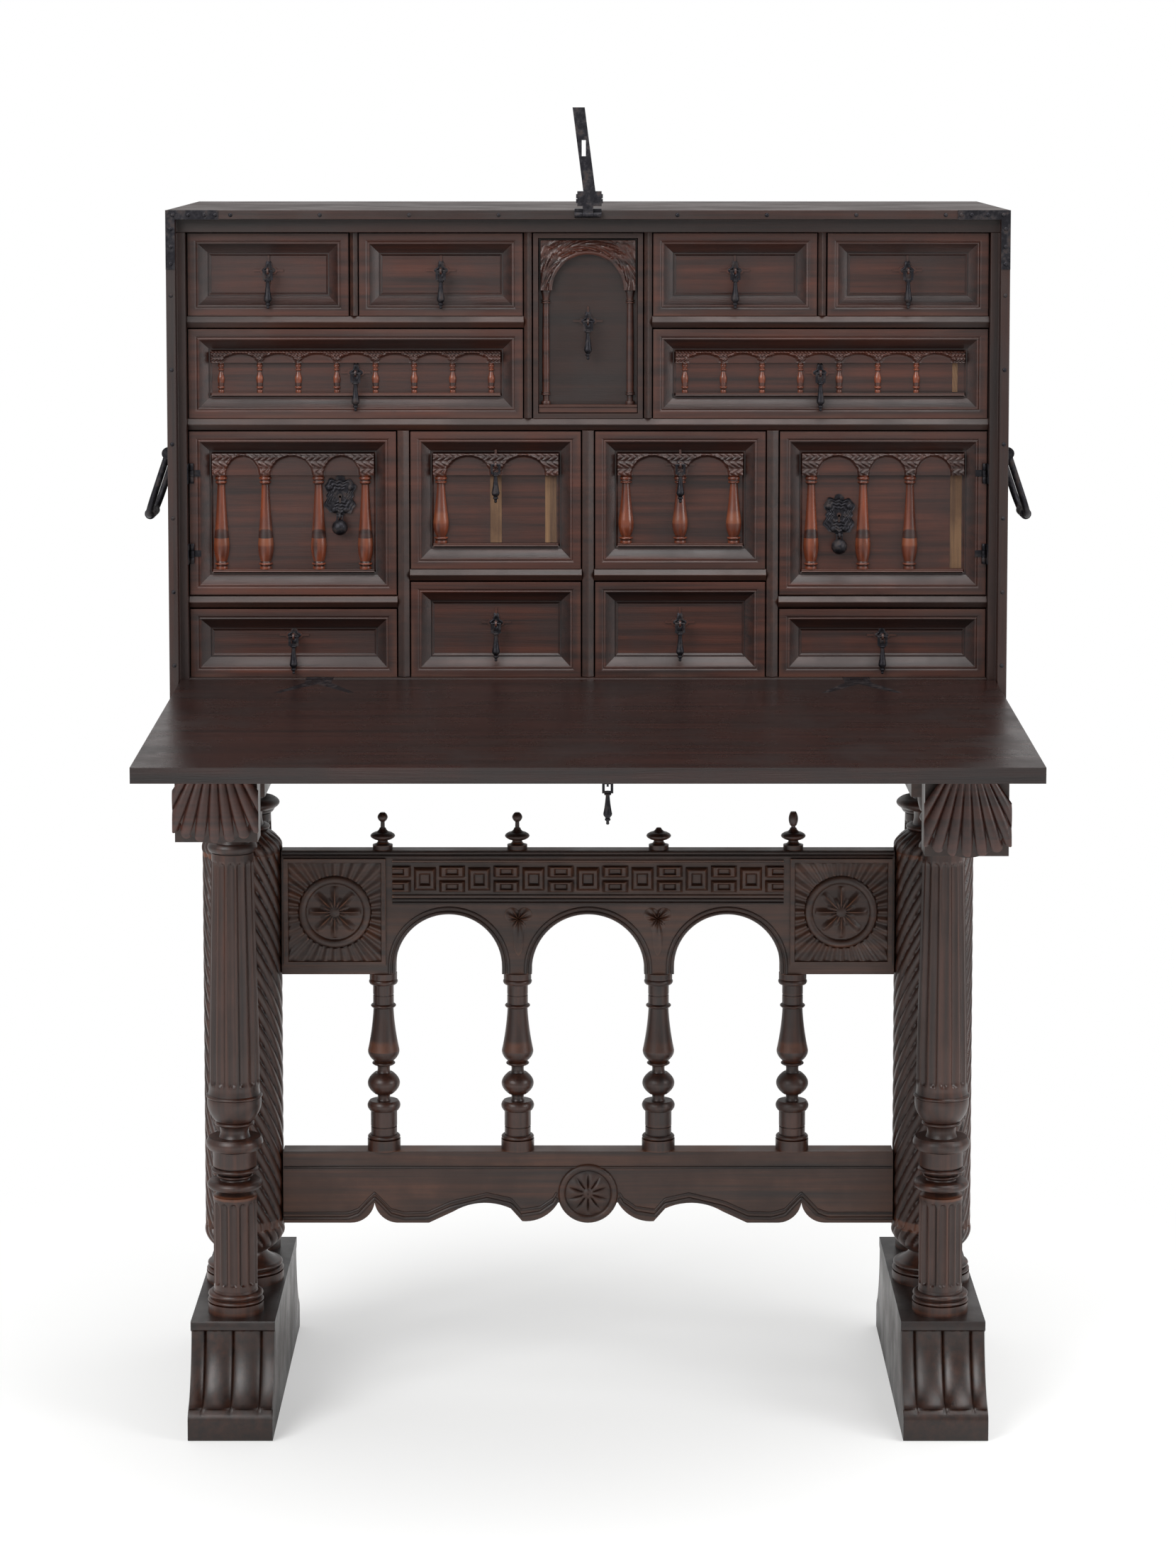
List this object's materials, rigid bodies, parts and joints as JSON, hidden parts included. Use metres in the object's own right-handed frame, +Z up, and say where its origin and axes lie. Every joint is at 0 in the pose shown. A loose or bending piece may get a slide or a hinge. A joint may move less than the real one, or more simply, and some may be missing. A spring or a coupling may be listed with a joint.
{
  "type": "vargueno writing cabinet on stand",
  "caption": "Fall-front writing cabinet with moulded drawers, arcaded doors and iron fittings, open on two pull-out supports over a turned and spiral-columned bridge stand",
  "frame": {"origin": "on the floor, under the middle of the bounding box", "axes": "X along the front to the viewer's right, Y from the front to the back, Z up"},
  "size_m": [1.1282, 1.017, 1.6709],
  "materials": {
    "case_walnut": "worn wax",
    "drawer_walnut": "waxed",
    "stand_walnut": "worn wax",
    "wrought_iron": "hammered"
  },
  "bodies": {
    "case_and_stand": {"case_top_board": "case_walnut", "case_bottom_board": "case_walnut", "case_side_left": "case_walnut", "case_side_right": "case_walnut", "case_back_board": "case_walnut", "shelf_dividers": "case_walnut", "upright_dividers": "case_walnut", "case_iron_fittings": "wrought_iron", "foot_left": "stand_walnut", "foot_right": "stand_walnut", "trestle_head_left": "stand_walnut", "trestle_head_right": "stand_walnut", "front_columns": "stand_walnut", "spiral_columns": "stand_walnut", "rear_columns": "stand_walnut", "arcade_rail": "stand_walnut", "lower_stretcher": "stand_walnut", "balusters": "stand_walnut", "finials": "stand_walnut"},
    "fall": {"fall_board": "case_walnut", "fall_iron_hinges": "wrought_iron", "fall_lock_plate": "wrought_iron"},
    "fall_pendant": {"fall_pendant": "wrought_iron"},
    "loper_left": {"loper_left": "stand_walnut"},
    "loper_right": {"loper_right": "stand_walnut"},
    "door_left": {"door_left": "drawer_walnut", "door_lock_left": "wrought_iron"},
    "door_right": {"door_right": "drawer_walnut", "door_lock_right": "wrought_iron"},
    "ball_drop_left": {"ball_drop_left": "wrought_iron"},
    "ball_drop_right": {"ball_drop_right": "wrought_iron"},
    "hasp": {"hasp": "wrought_iron"},
    "bail_left": {"bail_left": "wrought_iron"},
    "bail_right": {"bail_right": "wrought_iron"},
    "drawer_top_1": {"drawer_top_1": "drawer_walnut"},
    "pull_top_1": {"pull_top_1": "wrought_iron"},
    "drawer_top_2": {"drawer_top_2": "drawer_walnut"},
    "pull_top_2": {"pull_top_2": "wrought_iron"},
    "drawer_top_3": {"drawer_top_3": "drawer_walnut"},
    "pull_top_3": {"pull_top_3": "wrought_iron"},
    "drawer_top_4": {"drawer_top_4": "drawer_walnut"},
    "pull_top_4": {"pull_top_4": "wrought_iron"},
    "drawer_long_left": {"drawer_long_left": "drawer_walnut"},
    "pull_long_left": {"pull_long_left": "wrought_iron"},
    "drawer_long_right": {"drawer_long_right": "drawer_walnut"},
    "pull_long_right": {"pull_long_right": "wrought_iron"},
    "drawer_niche": {"drawer_niche": "drawer_walnut"},
    "pull_niche": {"pull_niche": "wrought_iron"},
    "drawer_arch_left": {"drawer_arch_left": "drawer_walnut"},
    "pull_arch_left": {"pull_arch_left": "wrought_iron"},
    "drawer_arch_right": {"drawer_arch_right": "drawer_walnut"},
    "pull_arch_right": {"pull_arch_right": "wrought_iron"},
    "drawer_lower_left": {"drawer_lower_left": "drawer_walnut"},
    "pull_lower_left": {"pull_lower_left": "wrought_iron"},
    "drawer_lower_right": {"drawer_lower_right": "drawer_walnut"},
    "pull_lower_right": {"pull_lower_right": "wrought_iron"},
    "drawer_bottom_left": {"drawer_bottom_left": "drawer_walnut"},
    "pull_bottom_left": {"pull_bottom_left": "wrought_iron"},
    "drawer_bottom_right": {"drawer_bottom_right": "drawer_walnut"},
    "pull_bottom_right": {"pull_bottom_right": "wrought_iron"}
  },
  "joints": [
    {"name": "fall_hinge", "type": "hinge", "parent": "case_and_stand", "child": "fall", "pos_m": [0, 0.06634, 0.957], "axis": [1, 0, 0], "range_deg": [-91.6, 0]},
    {"name": "fall_pendant_swing", "type": "hinge", "parent": "fall", "child": "fall_pendant", "pos_m": [0.022, -0.46283, 0.91986], "axis": [-1, 0, 0], "range_deg": [-88, 60]},
    {"name": "loper_left_slide", "type": "slide", "parent": "case_and_stand", "child": "loper_left", "axis": [0, -1, 0], "range_m": [-0.1165, 0.091]},
    {"name": "loper_right_slide", "type": "slide", "parent": "case_and_stand", "child": "loper_right", "axis": [0, -1, 0], "range_m": [-0.2075, 0]},
    {"name": "door_left_hinge", "type": "hinge", "parent": "case_and_stand", "child": "door_left", "pos_m": [-0.4935, 0.08204, 1.1165], "axis": [0, 0, -1], "range_deg": [0, 90]},
    {"name": "door_right_hinge", "type": "hinge", "parent": "case_and_stand", "child": "door_right", "pos_m": [0.4935, 0.08204, 1.1165], "axis": [0, 0, 1], "range_deg": [0, 90]},
    {"name": "ball_left_swing", "type": "hinge", "parent": "door_left", "child": "ball_drop_left", "pos_m": [-0.3095, 0.08654, 1.163], "axis": [-1, 0, 0], "range_deg": [0, 90]},
    {"name": "ball_right_swing", "type": "hinge", "parent": "door_right", "child": "ball_drop_right", "pos_m": [0.3135, 0.08654, 1.139], "axis": [-1, 0, 0], "range_deg": [0, 90]},
    {"name": "hasp_hinge", "type": "hinge", "parent": "case_and_stand", "child": "hasp", "pos_m": [0, 0.04754, 1.53925], "axis": [-1, 0, 0], "range_deg": [-185, 0]},
    {"name": "bail_left_swing", "type": "hinge", "parent": "case_and_stand", "child": "bail_left", "pos_m": [-0.53, 0.21654, 1.236], "axis": [0, 1, 0], "range_deg": [0, 90]},
    {"name": "bail_right_swing", "type": "hinge", "parent": "case_and_stand", "child": "bail_right", "pos_m": [0.53, 0.21654, 1.236], "axis": [0, -1, 0], "range_deg": [0, 90]},
    {"name": "drawer_top_1_slide", "type": "slide", "parent": "case_and_stand", "child": "drawer_top_1", "axis": [0, -1, 0], "range_m": [0, 0.25]},
    {"name": "pull_top_1_swing", "type": "hinge", "parent": "drawer_top_1", "child": "pull_top_1", "pos_m": [-0.39675, 0.08004, 1.469], "axis": [-1, 0, 0], "range_deg": [0, 90]},
    {"name": "drawer_top_2_slide", "type": "slide", "parent": "case_and_stand", "child": "drawer_top_2", "axis": [0, -1, 0], "range_m": [0, 0.25]},
    {"name": "pull_top_2_swing", "type": "hinge", "parent": "drawer_top_2", "child": "pull_top_2", "pos_m": [-0.1825, 0.08004, 1.469], "axis": [-1, 0, 0], "range_deg": [0, 90]},
    {"name": "drawer_top_3_slide", "type": "slide", "parent": "case_and_stand", "child": "drawer_top_3", "axis": [0, -1, 0], "range_m": [0, 0.25]},
    {"name": "pull_top_3_swing", "type": "hinge", "parent": "drawer_top_3", "child": "pull_top_3", "pos_m": [0.1825, 0.08004, 1.469], "axis": [-1, 0, 0], "range_deg": [0, 90]},
    {"name": "drawer_top_4_slide", "type": "slide", "parent": "case_and_stand", "child": "drawer_top_4", "axis": [0, -1, 0], "range_m": [0, 0.25]},
    {"name": "pull_top_4_swing", "type": "hinge", "parent": "drawer_top_4", "child": "pull_top_4", "pos_m": [0.39675, 0.08004, 1.469], "axis": [-1, 0, 0], "range_deg": [0, 90]},
    {"name": "drawer_long_left_slide", "type": "slide", "parent": "case_and_stand", "child": "drawer_long_left", "axis": [0, -1, 0], "range_m": [0, 0.25]},
    {"name": "pull_long_left_swing", "type": "hinge", "parent": "drawer_long_left", "child": "pull_long_left", "pos_m": [-0.28875, 0.08004, 1.34175], "axis": [-1, 0, 0], "range_deg": [0, 90]},
    {"name": "drawer_long_right_slide", "type": "slide", "parent": "case_and_stand", "child": "drawer_long_right", "axis": [0, -1, 0], "range_m": [0, 0.25]},
    {"name": "pull_long_right_swing", "type": "hinge", "parent": "drawer_long_right", "child": "pull_long_right", "pos_m": [0.28875, 0.08004, 1.34175], "axis": [-1, 0, 0], "range_deg": [0, 90]},
    {"name": "drawer_niche_slide", "type": "slide", "parent": "case_and_stand", "child": "drawer_niche", "axis": [0, -1, 0], "range_m": [0, 0.25]},
    {"name": "pull_niche_swing", "type": "hinge", "parent": "drawer_niche", "child": "pull_niche", "pos_m": [0, 0.08004, 1.406], "axis": [-1, 0, 0], "range_deg": [0, 90]},
    {"name": "drawer_arch_left_slide", "type": "slide", "parent": "case_and_stand", "child": "drawer_arch_left", "axis": [0, -1, 0], "range_m": [0, 0.25]},
    {"name": "pull_arch_left_swing", "type": "hinge", "parent": "drawer_arch_left", "child": "pull_arch_left", "pos_m": [-0.115, 0.08004, 1.2275], "axis": [-1, 0, 0], "range_deg": [0, 90]},
    {"name": "drawer_arch_right_slide", "type": "slide", "parent": "case_and_stand", "child": "drawer_arch_right", "axis": [0, -1, 0], "range_m": [0, 0.25]},
    {"name": "pull_arch_right_swing", "type": "hinge", "parent": "drawer_arch_right", "child": "pull_arch_right", "pos_m": [0.115, 0.08004, 1.2275], "axis": [-1, 0, 0], "range_deg": [0, 90]},
    {"name": "drawer_lower_left_slide", "type": "slide", "parent": "case_and_stand", "child": "drawer_lower_left", "axis": [0, -1, 0], "range_m": [0, 0.25]},
    {"name": "pull_lower_left_swing", "type": "hinge", "parent": "drawer_lower_left", "child": "pull_lower_left", "pos_m": [-0.115, 0.08004, 1.0285], "axis": [-1, 0, 0], "range_deg": [0, 90]},
    {"name": "drawer_lower_right_slide", "type": "slide", "parent": "case_and_stand", "child": "drawer_lower_right", "axis": [0, -1, 0], "range_m": [0, 0.25]},
    {"name": "pull_lower_right_swing", "type": "hinge", "parent": "drawer_lower_right", "child": "pull_lower_right", "pos_m": [0.115, 0.08004, 1.0285], "axis": [-1, 0, 0], "range_deg": [0, 90]},
    {"name": "drawer_bottom_left_slide", "type": "slide", "parent": "case_and_stand", "child": "drawer_bottom_left", "axis": [0, -1, 0], "range_m": [0, 0.25]},
    {"name": "pull_bottom_left_swing", "type": "hinge", "parent": "drawer_bottom_left", "child": "pull_bottom_left", "pos_m": [-0.36775, 0.08004, 1.0125], "axis": [-1, 0, 0], "range_deg": [0, 90]},
    {"name": "drawer_bottom_right_slide", "type": "slide", "parent": "case_and_stand", "child": "drawer_bottom_right", "axis": [0, -1, 0], "range_m": [0, 0.25]},
    {"name": "pull_bottom_right_swing", "type": "hinge", "parent": "drawer_bottom_right", "child": "pull_bottom_right", "pos_m": [0.36775, 0.08004, 1.0125], "axis": [-1, 0, 0], "range_deg": [0, 90]}
  ]
}
